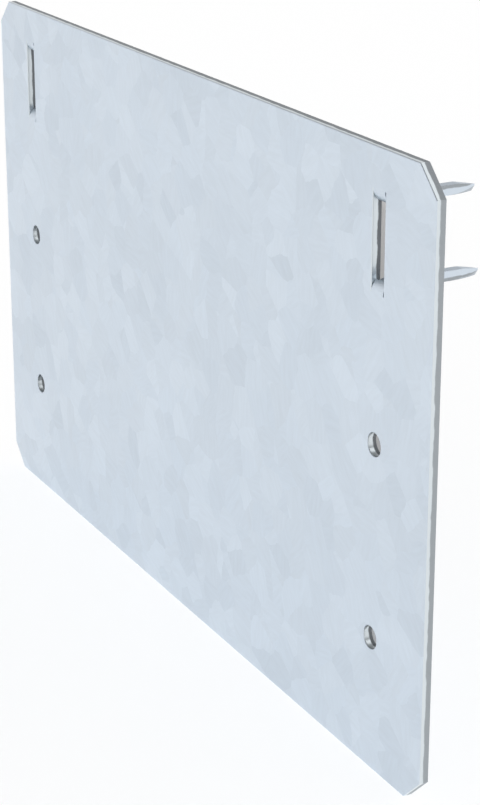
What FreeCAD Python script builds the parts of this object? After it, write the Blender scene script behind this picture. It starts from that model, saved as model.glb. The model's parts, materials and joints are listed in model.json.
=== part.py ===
import FreeCAD, Part
import math
import os

# A protection plate: one blank of galvanised sheet steel that is nailed over a stud to keep screws and
# nails out of the pipes and cables behind it. Corners are clipped, four nail holes are punched, and two
# slots near the top edge are lanced, each into a pair of prongs that are bent back and driven into the
# wood to hold the plate while it is nailed.
#
# Sizes are in millimetres. X runs along the plate's width, Z up its height and Y from front to back. The
# origin is the middle of the back face, which lies on the wood, so the front face is at y = -SHEET.

# Blank
PLATE_WIDTH = 203.2
PLATE_HEIGHT = 127.0
SHEET = 2.0
CORNER_CLIP = 5.6

# Rounding that blanking and punching leave on the edges of the front face
EDGE_ROLL = 0.25

# Nail holes and prong slots share two columns, one near each side edge
COLUMN_INSET = 19.05

# Nail holes, with the upper row's distance below the top edge
HOLE_DIAMETER = 4.76
HOLE_ROW_DROP = 58.0
HOLE_ROW_PITCH = 40.6

# Prong slots, with the distance of their upper bend line below the top edge
SLOT_WIDTH = 4.4
SLOT_LENGTH = 20.0
SLOT_DROP = 8.0

# Prongs: the bend, the clearances that the lancing tool leaves, and the point
BEND_INNER_RADIUS = 1.0
NEUTRAL_FIBRE = 0.45
SHEAR_GAP = 0.15
TIP_GAP = 0.5
POINT_LENGTH = 6.2
POINT_CLIP_LENGTH = 4.2

# Each point is coined: its upper face drops to the tip, and a curved bevel cuts its lower edge away on the
# side that faces the plate's end. The slant is the bevel's angle to level, seen from the tip, and the draw
# is how much longer coining makes the prong.
TIP_DROP = 0.7
TIP_THICKNESS = 0.3
BEVEL_LENGTH = 6.4
BEVEL_SLANT = 68.0
POINT_DRAW = 2.2

# How far a cutting tool reaches past the faces that it cuts
TOOL_OVERRUN = 1.0

# A slot's two prongs lie side by side in the flat blank, one cut from each half of its width. They meet
# along the slot's middle line, so each one can be nearly as long as the slot itself.
HALF_SLOT = SLOT_WIDTH / 2
BASE_SIDE = HALF_SLOT - SHEAR_GAP
SPLIT_SIDE = SHEAR_GAP / 2
TIP_SIDE = (BASE_SIDE + SPLIT_SIDE) / 2
HALF_PRONG = (BASE_SIDE - SPLIT_SIDE) / 2
BEND_OUTER_RADIUS = BEND_INNER_RADIUS + SHEET
BEND_MIDDLE_RADIUS = BEND_INNER_RADIUS + SHEET / 2
NEUTRAL_RADIUS = BEND_INNER_RADIUS + NEUTRAL_FIBRE * SHEET
BEND_ALLOWANCE = NEUTRAL_RADIUS * math.pi / 2
PRONG_REACH = BEND_INNER_RADIUS + SLOT_LENGTH - TIP_GAP - BEND_ALLOWANCE + POINT_DRAW

# Where the base stops being as wide as the slot, because the other prong's tip was cut from that place
BASE_END = BEND_INNER_RADIUS - BEND_MIDDLE_RADIUS * math.cos(TIP_GAP / NEUTRAL_RADIUS)

COLUMN_X = PLATE_WIDTH / 2 - COLUMN_INSET
TOP_EDGE = PLATE_HEIGHT / 2
HOLE_ROWS = (TOP_EDGE - HOLE_ROW_DROP, TOP_EDGE - HOLE_ROW_DROP - HOLE_ROW_PITCH)
SLOT_MIDDLE = TOP_EDGE - SLOT_DROP - SLOT_LENGTH / 2

WIDTH_AXIS = FreeCAD.Vector(1, 0, 0)
DEPTH_AXIS = FreeCAD.Vector(0, 1, 0)
UP_AXIS = FreeCAD.Vector(0, 0, 1)


def in_plan(x, y):
    """A point seen from above."""
    return FreeCAD.Vector(x, y, 0)


def in_profile(y, z):
    """A point seen from the side."""
    return FreeCAD.Vector(0, y, z)


def line(start, end):
    return Part.LineSegment(start, end).toShape()


def chain(points):
    """Lines from each point to the next."""
    return [line(point, after) for point, after in zip(points, points[1:])]


def short_arc(start, end, centre):
    """The short arc around a centre from one point to another."""
    middle = (start + end) * 0.5 - centre
    middle.normalize()
    return Part.Arc(start, centre + middle * (start - centre).Length, end).toShape()


def tangent_arc(start, direction, end):
    """The arc that leaves a point along a direction and ends at another point."""
    chord = end - start
    along = chord.dot(direction)
    across = chord - direction * along
    radius = chord.Length ** 2 / (2 * across.Length)
    centre = start + across * (radius / across.Length)
    return short_arc(start, end, centre)


def face_of(edges):
    return Part.Face(Part.Wire(Part.__sortEdges__(edges)))


def blank():
    """The flat plate with clipped corners and a rolled front edge."""
    side = PLATE_WIDTH / 2
    corners = []
    for x, z in ((1, 1), (1, -1), (-1, -1), (-1, 1)):
        along_side = FreeCAD.Vector(x * side, 0, z * (TOP_EDGE - CORNER_CLIP))
        along_end = FreeCAD.Vector(x * (side - CORNER_CLIP), 0, z * TOP_EDGE)
        corners += [along_end, along_side] if x == z else [along_side, along_end]
    outline = Part.makePolygon(corners + corners[:1])
    plate = Part.Face(outline).extrude(DEPTH_AXIS * -SHEET)
    front_edges = [edge for edge in plate.Edges if edge.BoundBox.YMax < -SHEET / 2]
    return plate.makeFillet(EDGE_ROLL, front_edges)


def punch_wall(half_size):
    """Edges of a punch from behind the sheet to in front of it, with the rolled lip that it leaves."""
    lip_start = in_plan(half_size, EDGE_ROLL - SHEET)
    lip_end = in_plan(half_size + EDGE_ROLL, -SHEET)
    lip_centre = in_plan(half_size + EDGE_ROLL, EDGE_ROLL - SHEET)
    return [
        line(in_plan(half_size, TOOL_OVERRUN), lip_start),
        short_arc(lip_start, lip_end, lip_centre),
        line(lip_end, in_plan(half_size + EDGE_ROLL, -SHEET - TOOL_OVERRUN)),
    ]


def hole_punch():
    """A round punch on the Y axis."""
    radius = HOLE_DIAMETER / 2
    wall = punch_wall(radius)
    back = in_plan(0, TOOL_OVERRUN)
    front = in_plan(0, -SHEET - TOOL_OVERRUN)
    wall.append(line(back, in_plan(radius, TOOL_OVERRUN)))
    wall.append(line(in_plan(radius + EDGE_ROLL, -SHEET - TOOL_OVERRUN), front))
    wall.append(line(front, back))
    return face_of(wall).revolve(FreeCAD.Vector(), DEPTH_AXIS, 360)


def slot_punch():
    """The opening that a slot's two prongs leave, with rolled lips along its sides."""
    right = punch_wall(HALF_SLOT)
    left = [edge.mirror(FreeCAD.Vector(), WIDTH_AXIS) for edge in right]
    back = in_plan(HALF_SLOT, TOOL_OVERRUN)
    front = in_plan(HALF_SLOT + EDGE_ROLL, -SHEET - TOOL_OVERRUN)
    ends = [line(point, in_plan(-point.x, point.y)) for point in (back, front)]
    section = face_of(right + left + ends)
    section.translate(UP_AXIS * (-SLOT_LENGTH / 2))
    return section.extrude(UP_AXIS * SLOT_LENGTH)


def prong_profile():
    """A prong from the side, with its bend line at the origin: bend and shank."""
    centre = in_profile(BEND_INNER_RADIUS, 0)
    front_start = in_profile(-SHEET, 0)
    back_start = in_profile(0, 0)
    back_bend = in_profile(BEND_INNER_RADIUS, -BEND_INNER_RADIUS)
    front_bend = in_profile(BEND_INNER_RADIUS, -BEND_OUTER_RADIUS)
    back_end = in_profile(PRONG_REACH, -BEND_INNER_RADIUS)
    front_end = in_profile(PRONG_REACH, -BEND_OUTER_RADIUS)
    return face_of([
        line(front_start, back_start),
        short_arc(back_start, back_bend, centre),
        line(back_bend, back_end),
        line(back_end, front_end),
        line(front_end, front_bend),
        short_arc(front_bend, front_start, centre),
    ])


def prong_plan():
    """A prong from above: a base as wide as the slot, a shank half as wide, and a point."""
    base_front = in_plan(BASE_SIDE, -SHEET)
    base_corner = in_plan(BASE_SIDE, BASE_END)
    shoulder = in_plan(TIP_SIDE, BASE_END)
    shank_start = in_plan(-SPLIT_SIDE, BASE_END + POINT_LENGTH)
    point_start = in_plan(-SPLIT_SIDE, PRONG_REACH - POINT_LENGTH)
    tip = in_plan(-TIP_SIDE, PRONG_REACH)
    clip_start = in_plan(-BASE_SIDE, PRONG_REACH - POINT_CLIP_LENGTH)
    inner_front = in_plan(-BASE_SIDE, -SHEET)
    return face_of([
        line(base_front, base_corner),
        line(base_corner, shoulder),
        tangent_arc(shank_start, -DEPTH_AXIS, shoulder),
        line(shank_start, point_start),
        tangent_arc(point_start, DEPTH_AXIS, tip),
        line(tip, clip_start),
        line(clip_start, inner_front),
        line(inner_front, base_front),
    ])


def bent_strip():
    """The upper prong of a slot before its point is coined, around the slot's middle."""
    from_side = prong_profile()
    from_side.translate(WIDTH_AXIS * -HALF_SLOT)
    from_side = from_side.extrude(WIDTH_AXIS * SLOT_WIDTH)
    from_above = prong_plan()
    from_above.translate(UP_AXIS * -(BEND_OUTER_RADIUS + TOOL_OVERRUN))
    from_above = from_above.extrude(UP_AXIS * (BEND_OUTER_RADIUS + 2 * TOOL_OVERRUN))
    strip = from_side.common(from_above)
    strip.translate(UP_AXIS * (SLOT_LENGTH / 2))
    return strip


def die_bar(edges):
    """A bar across a prong, with a section that is drawn from the side."""
    half_length = HALF_PRONG + SHEET + TOOL_OVERRUN
    section = face_of(edges)
    section.translate(WIDTH_AXIS * -half_length)
    return section.extrude(WIDTH_AXIS * 2 * half_length)


def upper_die():
    """What is coined off a point's upper face. The origin is on that face, above the middle of the tip."""
    start = in_profile(-POINT_CLIP_LENGTH, 0)
    tip = in_profile(0, -TIP_DROP)
    far_tip = in_profile(TOOL_OVERRUN, -TIP_DROP)
    far_top = in_profile(TOOL_OVERRUN, TOOL_OVERRUN)
    top = in_profile(-POINT_CLIP_LENGTH, TOOL_OVERRUN)
    return die_bar(chain([start, tip, far_tip, far_top, top, start]))


def bevel_die():
    """What is coined off a point's lower edge. The origin is the same as the upper die's."""
    slant = math.radians(BEVEL_SLANT)
    lower_edge = -HALF_PRONG * math.sin(slant) - SHEET * math.cos(slant)
    start = in_profile(-BEVEL_LENGTH, lower_edge)
    tip = in_profile(0, -(TIP_DROP + TIP_THICKNESS) * math.cos(slant))
    far_tip = in_profile(TOOL_OVERRUN, tip.z)
    far_base = in_profile(TOOL_OVERRUN, lower_edge - TOOL_OVERRUN)
    base = in_profile(-BEVEL_LENGTH, lower_edge - TOOL_OVERRUN)
    curve = tangent_arc(start, DEPTH_AXIS, tip)
    die = die_bar([curve] + chain([tip, far_tip, far_base, base, start]))
    die.rotate(FreeCAD.Vector(), DEPTH_AXIS, -BEVEL_SLANT)
    return die


def prong_pair():
    """A slot's two prongs: the lower strip is the upper one turned half round; both are coined alike."""
    upper = bent_strip()
    lower = upper.copy()
    lower.rotate(FreeCAD.Vector(), DEPTH_AXIS, 180)
    upper_face = SLOT_LENGTH / 2 - BEND_INNER_RADIUS
    lower_face = BEND_OUTER_RADIUS - SLOT_LENGTH / 2
    prongs = []
    for strip, side, face in ((upper, -TIP_SIDE, upper_face), (lower, TIP_SIDE, lower_face)):
        dies = [upper_die(), bevel_die()]
        for die in dies:
            die.translate(FreeCAD.Vector(side, PRONG_REACH, face))
        prongs.append(strip.cut(dies))
    return prongs


def at_column(shape, side, height):
    """A copy of a right-hand feature in the right or left column, where it is mirrored."""
    placed = shape.copy() if side > 0 else shape.mirror(FreeCAD.Vector(), WIDTH_AXIS)
    placed.translate(FreeCAD.Vector(side * COLUMN_X, 0, height))
    return placed


def protection_plate():
    hole = hole_punch()
    slot = slot_punch()
    pair = prong_pair()
    cuts = []
    prongs = []
    for side in (1, -1):
        cuts += [at_column(hole, side, row) for row in HOLE_ROWS]
        cuts.append(at_column(slot, side, SLOT_MIDDLE))
        prongs += [at_column(shape, side, SLOT_MIDDLE) for shape in pair]
    return blank().cut(cuts).fuse(prongs).removeSplitter()


os.makedirs("parts", exist_ok=True)
protection_plate().exportStep("parts/protection_plate.step")
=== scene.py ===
# Looks of a protection plate: galvanised sheet steel with sheared edges, on a pale floor in soft light.
# Everything is in metres, in the part's own frame: X along the width, Y from front to back, Z up.
import json
import math

import bpy
from mathutils import Matrix, Vector


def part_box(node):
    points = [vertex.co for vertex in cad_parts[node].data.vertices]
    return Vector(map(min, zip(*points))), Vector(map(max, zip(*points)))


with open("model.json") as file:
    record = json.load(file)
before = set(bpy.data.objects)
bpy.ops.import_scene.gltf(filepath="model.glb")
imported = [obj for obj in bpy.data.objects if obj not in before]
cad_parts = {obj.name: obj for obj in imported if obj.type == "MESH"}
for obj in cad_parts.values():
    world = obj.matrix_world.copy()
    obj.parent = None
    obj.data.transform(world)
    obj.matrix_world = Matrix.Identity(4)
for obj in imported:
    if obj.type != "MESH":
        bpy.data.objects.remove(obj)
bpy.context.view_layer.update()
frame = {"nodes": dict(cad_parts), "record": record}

NODE = "protection_plate"
MM = 0.001

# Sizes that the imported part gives
plate_low, plate_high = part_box(NODE)
mounts = {mount["name"]: mount for mount in frame["record"]["mounts"]}
BACK_Y = mounts["back_face"]["pos_m"][1]
FRONT_Y = plate_low.y
SHEET = BACK_Y - FRONT_Y
COLUMN_X = mounts["nail_holes"]["dims"]["spacing_x_mm"] / 2 * MM
SLOT_Z = mounts["prongs"]["pos_m"][2]

# Sizes of a slot and its prongs, repeated from the part
SLOT_WIDTH = 4.4 * MM
SLOT_LENGTH = 20.0 * MM
EDGE_ROLL = 0.25 * MM
SHEAR_GAP = 0.15 * MM
BEND_INNER_RADIUS = 1.0 * MM
BEND_OUTER_RADIUS = BEND_INNER_RADIUS + SHEET

# Finish: linear colours of zinc and of bare steel
ZINC_COLOUR = (0.65, 0.72, 0.795)
BURNISHED_COLOUR = (0.70, 0.755, 0.785)
BROKEN_COLOUR = (0.43, 0.46, 0.485)
# The broken band inside punched openings: the real dull tone of the break, darkened further as painted
# shade of the opening
PUNCHED_BREAK_PAINTED_SHADE_COLOUR = (0.22, 0.235, 0.25)
COINED_COLOUR = (0.47, 0.51, 0.55)

# Finish: roughness of zinc and of bare steel
ZINC_ROUGHNESS = 0.42
BURNISHED_ROUGHNESS = 0.30
BROKEN_ROUGHNESS = 0.62

# Finish: how deep an edge and an opening break off, as shares of the sheet, and how that line wanders
EDGE_BREAK = 0.42
PUNCHED_BREAK = 0.62
BREAK_WANDER = 0.35
BREAK_WANDER_SIZE = 3.0 * MM
BREAK_BORDER = 0.12

# Finish: how steep a face is before it counts as sheared or coined, as parts of its unit normal
SHEARED_FACING = 0.475
SHEARED_BORDER = 0.25
COINED_FACING = 0.17
COINED_BORDER = 0.10

# Finish: where the plate's outline ends and its openings start, and how wide the borders of places are
OUTLINE_MARGIN = 7.5 * MM
OUTLINE_BORDER = 1.0 * MM
PLACE_BORDER = 0.05 * MM

# Finish: what varies over the zinc, as sizes and as shares of its brightness and its roughness
SPANGLE_SIZE = 6.5 * MM
SPANGLE_CONTRAST = 0.06
SPANGLE_GLOSS = 0.12
SPANGLE_DRIFT = 3.0 * MM
SPANGLE_DRIFT_SIZE = 5.0 * MM
FROST_SIZE = 0.9 * MM
FROST_CONTRAST = 0.12
FROST_GLOSS = 0.08
FROST_STRETCH = 0.18
CLOUD_SIZE = 45.0 * MM
CLOUD_CONTRAST = 0.06

# Finish: how many finer layers the noise has, where it is soft and where it is crisp
SOFT_DETAIL = 2.0
CRISP_DETAIL = 3.0

# Finish: relief, with the height of each pattern as a share of the depth
RELIEF_DEPTH = 0.04 * MM
RELIEF_STRENGTH = 0.5
FROST_RELIEF = 0.35
SPANGLE_RELIEF = 0.25
GRIT_RELIEF = 2.0
GRIT_SIZE = 0.5 * MM

# Camera, with angles in degrees
CAMERA_AZIMUTH = 61.9
CAMERA_ELEVATION = 18.3
CAMERA_DISTANCE = 0.4667
CAMERA_SLIDE_RIGHT = 0.0117
CAMERA_SLIDE_UP = 0.0054
CAMERA_CLIP_START = 10.0 * MM
LENS_MM = 92.9
LENS_SHIFT_UP = -0.1

# Studio: a floor in a room that is bright at eye level and dimmer overhead, with angles in degrees
FLOOR_HALF_SIZE = 30.0
FLOOR_COLOUR = (0.90, 0.90, 0.90)
ROOM_COLOUR = (1.0, 1.0, 1.0)
ROOM_BRIGHT = 0.95
ROOM_DIM = 0.32
ROOM_FADE_START = 16.0
ROOM_FADE_END = 36.0

# Studio: a key light on the floor, and a soft box above and behind the plate, with angles in degrees
KEY_AZIMUTH = 58.0
KEY_ELEVATION = 15.0
KEY_DISTANCE = 1.0
KEY_WIDTH = 3.0
KEY_STRENGTH = 8.1
BOX_AZIMUTH = 136.0
BOX_ELEVATION = 56.0
BOX_DISTANCE = 0.98
BOX_SIZE = 0.6
BOX_POWER = 1.0


class Field:
    """A number that varies over a surface. Arithmetic on it adds nodes to its tree."""

    def __init__(self, tree, socket):
        self.tree = tree
        self.socket = socket

    def calculate(self, operation, *others):
        """What a Math node makes of this and of other fields or numbers."""
        node = self.tree.nodes.new("ShaderNodeMath")
        node.operation = operation
        for slot, value in zip(node.inputs, (self, *others)):
            feed(self.tree, slot, value)
        return Field(self.tree, node.outputs[0])

    def __add__(self, other):
        return self.calculate("ADD", other)

    def __sub__(self, other):
        return self.calculate("SUBTRACT", other)

    def __mul__(self, other):
        return self.calculate("MULTIPLY", other)

    def __truediv__(self, other):
        return self.calculate("DIVIDE", other)

    def __neg__(self):
        return self.calculate("MULTIPLY", -1.0)

    def __abs__(self):
        return self.calculate("ABSOLUTE")

    def centred(self):
        """A field from 0 to 1, moved to lie around 0."""
        return self - 0.5

    def inverse(self):
        """1 where this is 0, and 0 where it is 1."""
        return -self + 1.0

    def rise(self, start, end):
        """0 up to start and 1 from end on, with a smooth step between. Start may be more than end."""
        node = self.tree.nodes.new("ShaderNodeMapRange")
        node.interpolation_type = "SMOOTHSTEP"
        feed(self.tree, node.inputs["Value"], self)
        feed(self.tree, node.inputs["From Min"], start)
        feed(self.tree, node.inputs["From Max"], end)
        return Field(self.tree, node.outputs["Result"])

    def above(self, limit, border):
        """1 above a limit and 0 below it, with a smooth step as wide as the border."""
        return self.rise(limit - border / 2, limit + border / 2)

    def below(self, limit, border):
        """1 below a limit and 0 above it, with a smooth step as wide as the border."""
        return self.rise(limit + border / 2, limit - border / 2)

    def blend(self, low, high):
        """Low where this is 0 and high where it is 1."""
        node = self.tree.nodes.new("ShaderNodeMix")
        feed(self.tree, node.inputs["Factor"], self)
        feed(self.tree, node.inputs["A"], low)
        feed(self.tree, node.inputs["B"], high)
        return Field(self.tree, node.outputs["Result"])

    def blend_colours(self, low, high):
        """The same for colours."""
        node = self.tree.nodes.new("ShaderNodeMix")
        node.data_type = "RGBA"
        feed(self.tree, node.inputs["Factor"], self)
        colours = [slot for slot in node.inputs if slot.type == "RGBA"]
        feed(self.tree, colours[0], low)
        feed(self.tree, colours[1], high)
        return [slot for slot in node.outputs if slot.type == "RGBA"][0]


def feed(tree, slot, value):
    """Links a field or a socket to an input, or sets the input to a plain value."""
    if isinstance(value, Field):
        value = value.socket
    if isinstance(value, bpy.types.NodeSocket):
        tree.links.new(value, slot)
    elif slot.type == "RGBA":
        slot.default_value = (*value, 1.0)
    else:
        slot.default_value = value


def split(tree, vector):
    """A vector's three parts."""
    node = tree.nodes.new("ShaderNodeSeparateXYZ")
    feed(tree, node.inputs[0], vector)
    return [Field(tree, output) for output in node.outputs]


class Surface:
    """Places and directions on the plate, in its own frame, and patterns that are laid over it."""

    def __init__(self, tree):
        self.tree = tree
        coordinates = tree.nodes.new("ShaderNodeTexCoord")
        self.position = coordinates.outputs["Object"]
        self.x, self.y, self.z = split(tree, self.position)
        sideways, backwards, upwards = split(tree, coordinates.outputs["Normal"])
        self.facing_sideways = abs(sideways)
        self.facing_front_or_back = abs(backwards)
        self.facing_down = -upwards
        self.from_column = abs(abs(self.x) - COLUMN_X)
        self.from_slot_middle = abs(self.z - SLOT_Z)

    def join(self, *parts):
        """A vector of three parts."""
        node = self.tree.nodes.new("ShaderNodeCombineXYZ")
        for slot, part in zip(node.inputs, parts):
            feed(self.tree, slot, part)
        return node.outputs[0]

    def noise(self, size, place=None, detail=SOFT_DETAIL):
        """Noise from 0 to 1 with spots of about that size."""
        node = self.tree.nodes.new("ShaderNodeTexNoise")
        feed(self.tree, node.inputs["Scale"], 1 / size)
        feed(self.tree, node.inputs["Detail"], detail)
        feed(self.tree, node.inputs["Vector"], place or self.position)
        return Field(self.tree, node.outputs["Fac"])

    def cells(self, size, place):
        """A random colour for each cell of about that size, as three numbers from 0 to 1."""
        node = self.tree.nodes.new("ShaderNodeTexVoronoi")
        feed(self.tree, node.inputs["Scale"], 1 / size)
        feed(self.tree, node.inputs["Vector"], place)
        return split(self.tree, node.outputs["Color"])


def slot_and_prongs(surface):
    """Where a slot is, with its rolled lips and prongs, and where its prongs are."""
    within_lips = surface.from_column.below(SLOT_WIDTH / 2 + EDGE_ROLL, PLACE_BORDER)
    within_ends = surface.from_slot_middle.below(SLOT_LENGTH / 2, PLACE_BORDER)
    within_walls = surface.from_column.below(SLOT_WIDTH / 2 - SHEAR_GAP / 2, PLACE_BORDER)
    in_slot = within_lips * within_ends
    return in_slot, in_slot * within_walls


def outline_band(surface):
    """Where the plate's outer edges are."""
    at_sides = abs(surface.x).above(plate_high.x - OUTLINE_MARGIN, OUTLINE_BORDER)
    at_ends = abs(surface.z).above(plate_high.z - OUTLINE_MARGIN, OUTLINE_BORDER)
    return at_sides.calculate("MAXIMUM", at_ends)


def shear_depth(surface, on_prong):
    """How far through the sheet a place on a sheared face lies: 0 at the front face, and 1 at the back.

    On a prong, that goes by how far the place is from the line that the prong is bent about.
    """
    flat_depth = (surface.y - FRONT_Y) / SHEET
    in_front_of_line = (surface.y - BEND_INNER_RADIUS).calculate("MINIMUM", 0.0)
    inside_line = -surface.from_slot_middle + SLOT_LENGTH / 2
    from_line = (in_front_of_line * in_front_of_line + inside_line * inside_line).calculate("SQRT")
    bent_depth = (-from_line + BEND_OUTER_RADIUS) / SHEET
    return on_prong.blend(flat_depth, bent_depth)


def bare_steel(surface):
    """Where the steel is sheared, where it broke off there, and the colour of the sheared steel.

    A sheared face is burnished at first and broken off behind that. Inside a punched opening the broken
    part is darker still: that is painted shade of the opening, laid over the real dull tone of the
    break.
    Zinc is smeared along the sides of the prongs, and their points are coined.
    """
    in_slot, on_prong = slot_and_prongs(surface)
    in_outline = outline_band(surface)
    plate_edge = surface.facing_front_or_back.below(SHEARED_FACING, SHEARED_BORDER)
    prong_side = surface.facing_sideways.above(SHEARED_FACING, SHEARED_BORDER)
    sheared = in_slot.blend(plate_edge, prong_side)
    coined = on_prong * surface.facing_down.above(COINED_FACING, COINED_BORDER)

    break_start = in_outline.blend(PUNCHED_BREAK, EDGE_BREAK)
    wander = surface.noise(BREAK_WANDER_SIZE, detail=CRISP_DETAIL).centred() * BREAK_WANDER
    past_break = shear_depth(surface, on_prong) + wander - break_start
    broken = past_break.above(0.0, BREAK_BORDER) * coined.inverse()

    # Inside the punched openings the broken band takes the darker colour, as painted shade; on the
    # outer edges and the prongs it keeps the plain broken tone
    outside_painted_shade = in_outline.calculate("MAXIMUM", on_prong)
    broken_colour_and_painted_shade = outside_painted_shade.blend_colours(PUNCHED_BREAK_PAINTED_SHADE_COLOUR, BROKEN_COLOUR)
    smeared_colour = on_prong.blend_colours(BURNISHED_COLOUR, ZINC_COLOUR)
    smooth_colour = coined.blend_colours(smeared_colour, COINED_COLOUR)
    return sheared, broken, broken.blend_colours(smooth_colour, broken_colour_and_painted_shade)


def zinc_pattern(surface):
    """The zinc's brightness around 1, a random number for each spangle, and the frost on the spangles.

    The borders of the spangles drift, and each spangle has frost needles of its own direction.
    """
    drift = surface.noise(SPANGLE_DRIFT_SIZE, detail=CRISP_DETAIL).centred() * SPANGLE_DRIFT
    drifting = surface.join(surface.x + drift, surface.y, surface.z - drift)
    tint, turn, gloss = surface.cells(SPANGLE_SIZE, drifting)
    angle = turn * math.pi
    cosine = angle.calculate("COSINE")
    sine = angle.calculate("SINE")
    along = surface.x * cosine + surface.z * sine
    across = surface.z * cosine - surface.x * sine
    needles = surface.join(along * FROST_STRETCH, surface.y, across)
    frost = surface.noise(FROST_SIZE, needles, CRISP_DETAIL)
    clouds = surface.noise(CLOUD_SIZE)
    brightness = (
        tint.centred() * SPANGLE_CONTRAST
        + frost.centred() * FROST_CONTRAST
        + clouds.centred() * CLOUD_CONTRAST
        + 1.0
    )
    return brightness, gloss, frost


def galvanised_steel():
    """Zinc-coated sheet with a faint spangle, and bare steel where it was sheared."""
    material = bpy.data.materials.new("galvanised_steel_finish")
    material.use_nodes = True
    tree = material.node_tree
    shader = tree.nodes["Principled BSDF"]
    shader.inputs["Metallic"].default_value = 1.0
    surface = Surface(tree)
    sheared, broken, steel = bare_steel(surface)
    brightness, gloss, frost = zinc_pattern(surface)
    grit = surface.noise(GRIT_SIZE)

    zinc = surface.join(*(brightness * part for part in ZINC_COLOUR))
    feed(tree, shader.inputs["Base Color"], sheared.blend_colours(zinc, steel))

    zinc_roughness = gloss.centred() * SPANGLE_GLOSS + frost.centred() * FROST_GLOSS + ZINC_ROUGHNESS
    steel_roughness = broken.blend(BURNISHED_ROUGHNESS, BROKEN_ROUGHNESS)
    feed(tree, shader.inputs["Roughness"], sheared.blend(zinc_roughness, steel_roughness))

    relief = tree.nodes.new("ShaderNodeBump")
    relief.inputs["Strength"].default_value = RELIEF_STRENGTH
    relief.inputs["Distance"].default_value = RELIEF_DEPTH
    zinc_relief = frost * FROST_RELIEF + gloss * SPANGLE_RELIEF
    feed(tree, relief.inputs["Height"], sheared.blend(zinc_relief, grit * broken * GRIT_RELIEF))
    feed(tree, shader.inputs["Normal"], relief.outputs["Normal"])
    return material


def pale_matt():
    """The floor's material."""
    material = bpy.data.materials.new("floor")
    material.use_nodes = True
    shader = material.node_tree.nodes["Principled BSDF"]
    shader.inputs["Base Color"].default_value = (*FLOOR_COLOUR, 1.0)
    shader.inputs["Roughness"].default_value = 1.0
    shader.inputs["Specular IOR Level"].default_value = 0.0
    return material


def add_floor():
    """A pale floor under the plate's lower edge. Returns it."""
    half = FLOOR_HALF_SIZE
    corners = [(-half, -half, 0), (half, -half, 0), (half, half, 0), (-half, half, 0)]
    mesh = bpy.data.meshes.new("floor")
    mesh.from_pydata(corners, [], [(0, 1, 2, 3)])
    mesh.materials.append(pale_matt())
    floor = bpy.data.objects.new("floor", mesh)
    floor.location.z = plate_low.z
    bpy.context.scene.collection.objects.link(floor)
    return floor


def direction(azimuth, elevation):
    """Unit vector away from the plate. The azimuth goes from the front to the right."""
    azimuth = math.radians(azimuth)
    elevation = math.radians(elevation)
    level = math.cos(elevation)
    return Vector((math.sin(azimuth) * level, -math.cos(azimuth) * level, math.sin(elevation)))


def right_and_up(away):
    """What is right and what is up for someone who stands in that direction and looks back."""
    right = Vector((0, 0, 1)).cross(away).normalized()
    return right, away.cross(right)


def face_back(thing, away, place):
    """Puts a camera or light at a place, level, with its back to a direction."""
    right, up = right_and_up(away)
    turned = Matrix((right, up, away)).transposed().to_4x4()
    turned.translation = place
    thing.matrix_world = turned


def add_room():
    """The light that comes from all round."""
    world = bpy.data.worlds.new("room")
    world.use_nodes = True
    tree = world.node_tree
    background = tree.nodes["Background"]
    ray = tree.nodes.new("ShaderNodeTexCoord").outputs["Generated"]
    height = split(tree, ray)[2]
    fade = [math.sin(math.radians(angle)) for angle in (ROOM_FADE_START, ROOM_FADE_END)]
    overhead = height.rise(*fade)
    feed(tree, background.inputs["Strength"], overhead.blend(ROOM_BRIGHT, ROOM_DIM))
    feed(tree, background.inputs["Color"], ROOM_COLOUR)
    bpy.context.scene.world = world


def add_lamp(light, azimuth, elevation, distance):
    """Puts a light at that place round the plate, facing the plate's middle. Returns its object."""
    lamp = bpy.data.objects.new(light.name, light)
    bpy.context.scene.collection.objects.link(lamp)
    away = direction(azimuth, elevation)
    face_back(lamp, away, away * distance)
    return lamp


def link_to_floor(lamp, floor, state):
    """Has a light fall on the floor alone, with INCLUDE, or on all but the floor, with EXCLUDE."""
    linked = bpy.data.collections.new(lamp.name + "_and_floor")
    linked.objects.link(floor)
    linked.collection_objects[0].light_linking.link_state = state
    lamp.light_linking.receiver_collection = linked


def add_key(floor):
    """A light from near the camera, so that the plate hides its own shadow.

    It falls on the floor alone, and leaves the metal to the room and to what the floor gives back.
    """
    light = bpy.data.lights.new("key", "SUN")
    light.energy = KEY_STRENGTH
    light.angle = math.radians(KEY_WIDTH)
    lamp = add_lamp(light, KEY_AZIMUTH, KEY_ELEVATION, KEY_DISTANCE)
    link_to_floor(lamp, floor, "INCLUDE")


def add_soft_box(floor):
    """The light that the slanting top corners mirror. It is kept off the floor."""
    light = bpy.data.lights.new("soft_box", "AREA")
    light.energy = BOX_POWER
    light.size = BOX_SIZE
    lamp = add_lamp(light, BOX_AZIMUTH, BOX_ELEVATION, BOX_DISTANCE)
    link_to_floor(lamp, floor, "EXCLUDE")


def add_camera():
    """A camera at the photograph's viewing angle."""
    data = bpy.data.cameras.new("camera")
    data.lens = LENS_MM
    data.shift_y = LENS_SHIFT_UP
    data.clip_start = CAMERA_CLIP_START
    camera = bpy.data.objects.new("camera", data)
    bpy.context.scene.collection.objects.link(camera)
    away = direction(CAMERA_AZIMUTH, CAMERA_ELEVATION)
    right, up = right_and_up(away)
    place = away * CAMERA_DISTANCE + right * CAMERA_SLIDE_RIGHT + up * CAMERA_SLIDE_UP
    face_back(camera, away, place)
    bpy.context.scene.camera = camera


# Dress the plate and set up the studio
plate = frame["nodes"][NODE]
plate.material_slots[0].material = galvanised_steel()
floor = add_floor()
add_room()
add_key(floor)
add_soft_box(floor)
add_camera()
bpy.context.scene.view_settings.view_transform = "Standard"
